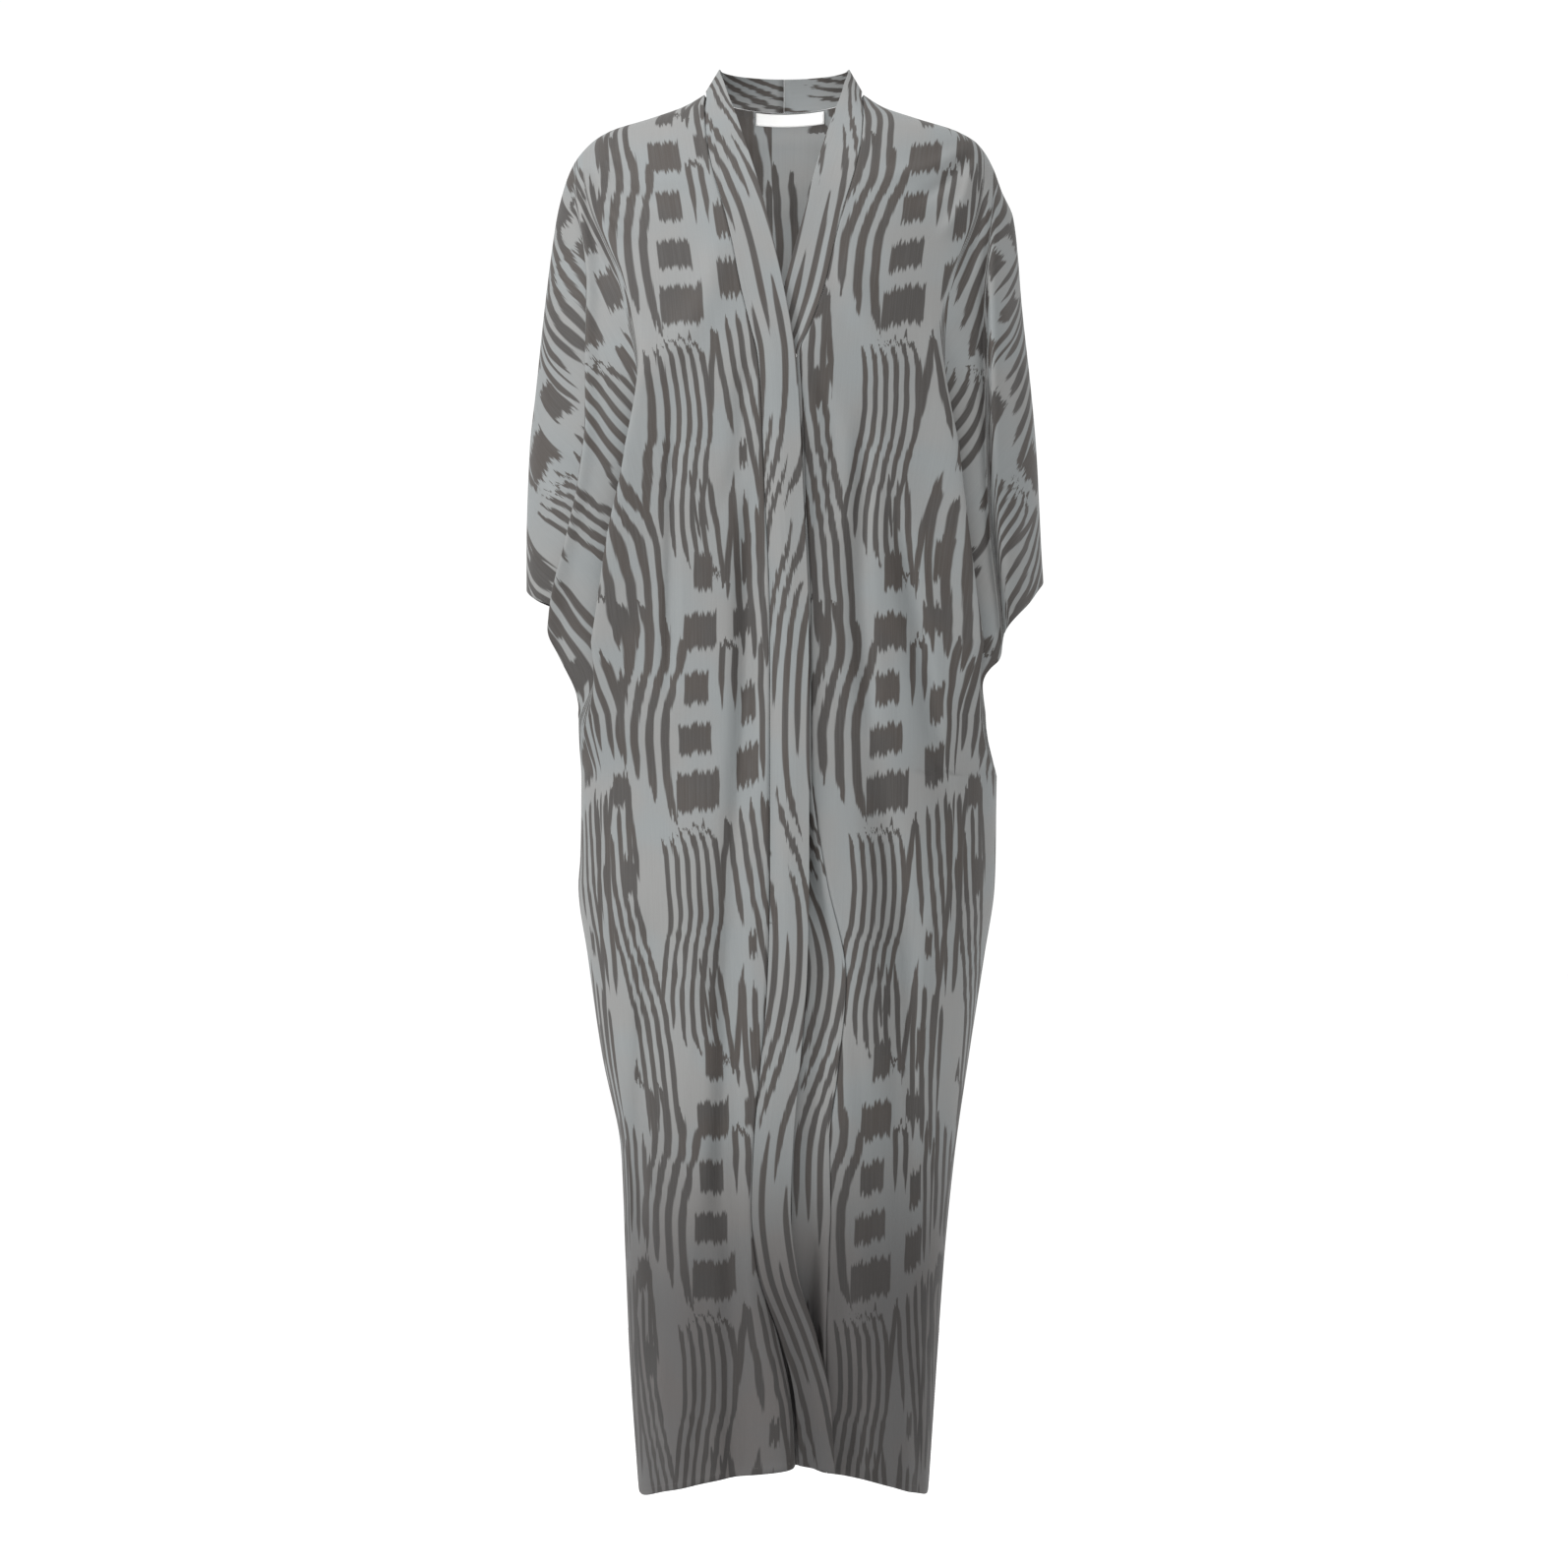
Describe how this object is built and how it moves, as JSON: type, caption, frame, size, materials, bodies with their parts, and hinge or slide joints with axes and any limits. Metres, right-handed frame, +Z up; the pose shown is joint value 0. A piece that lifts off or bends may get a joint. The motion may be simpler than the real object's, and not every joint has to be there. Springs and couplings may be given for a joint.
{
  "type": "kimono coat",
  "caption": "Long open-front kimono coat of thin ikat-patterned cloth with lowered sleeves cut in one with the body, a neck and front band, and side vents, hollow as worn.",
  "frame": {"origin": "midway between the two points where the shoulder seams meet the neck band, where the wearer's shoulders hold the coat up", "axes": "+Z up, -Y out of the front, +X towards the wearer's left"},
  "size_m": [0.5094, 0.2595, 1.3985],
  "materials": {
    "printed_cloth": "thin soft crepe, grey-blue ground with brown-grey warp ikat",
    "band_cloth": "the same cloth folded double",
    "label_weave": "smooth white woven ribbon, bare",
    "hook_metal": "small plain wire"
  },
  "bodies": {
    "root": {"back": "printed_cloth", "front_wearers_right": "printed_cloth", "front_wearers_left": "printed_cloth", "band_wearers_right": "band_cloth", "band_wearers_left": "band_cloth", "neck_label": "label_weave", "front_hook": "hook_metal"}
  },
  "joints": []
}
